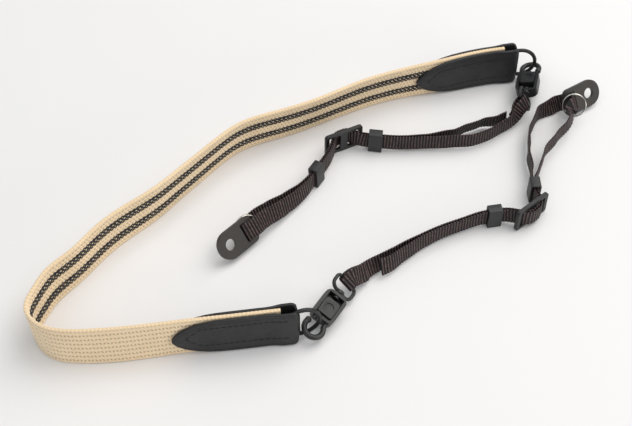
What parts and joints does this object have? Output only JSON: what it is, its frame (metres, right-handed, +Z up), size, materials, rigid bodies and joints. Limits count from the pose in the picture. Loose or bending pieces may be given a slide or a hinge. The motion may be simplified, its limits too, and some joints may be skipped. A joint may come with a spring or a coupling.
{
  "type": "coiled camera strap",
  "caption": "Camera strap lying in an open coil: wide knitted webbing, leather ends, rings, sliding-gate clasps and thin adjustable leads.",
  "frame": {"origin": "middle of the base of the strap's box, on the surface that it lies on", "axes": "+Z up, +X along the coil to the right as seen from the front, +Y away from the viewer"},
  "size_m": [0.3062, 0.2064, 0.0255],
  "materials": {
    "sand_cotton": "knitted, with two dark rubber stripes on the inner face",
    "black_leather": "satin",
    "black_metal": "satin",
    "dark_plastic": "matte",
    "black_nylon": "ribbed weave",
    "nickel": "polished"
  },
  "bodies": {
    "strap": {"shoulder_webbing": "sand_cotton", "near_leather_end": "black_leather", "far_leather_end": "black_leather", "near_ring": "black_metal", "far_ring": "black_metal", "near_clasp_body": "dark_plastic", "far_clasp_body": "dark_plastic", "near_clasp_eye": "dark_plastic", "far_clasp_eye": "dark_plastic", "near_lead_webbing": "black_nylon", "far_lead_webbing": "black_nylon", "near_inner_keeper": "dark_plastic", "far_inner_keeper": "dark_plastic", "near_buckle": "dark_plastic", "far_buckle": "dark_plastic", "near_outer_keeper": "dark_plastic", "far_outer_keeper": "dark_plastic", "near_lug_protector": "dark_plastic", "far_lug_protector": "dark_plastic", "near_split_ring": "nickel", "far_split_ring": "nickel"},
    "near_gate": {"near_clasp_gate": "dark_plastic"},
    "far_gate": {"far_clasp_gate": "dark_plastic"}
  },
  "joints": [
    {"name": "near_gate_slide", "type": "slide", "parent": "strap", "child": "near_gate", "axis": [0.524, 0.8517, 0.007], "range_m": [0, 0.0024], "stiffness_N_per_m": 300, "springref_m": -0.002},
    {"name": "far_gate_slide", "type": "slide", "parent": "strap", "child": "far_gate", "axis": [-0.2361, -0.9684, 0.0802], "range_m": [0, 0.0024], "stiffness_N_per_m": 300, "springref_m": -0.002}
  ]
}
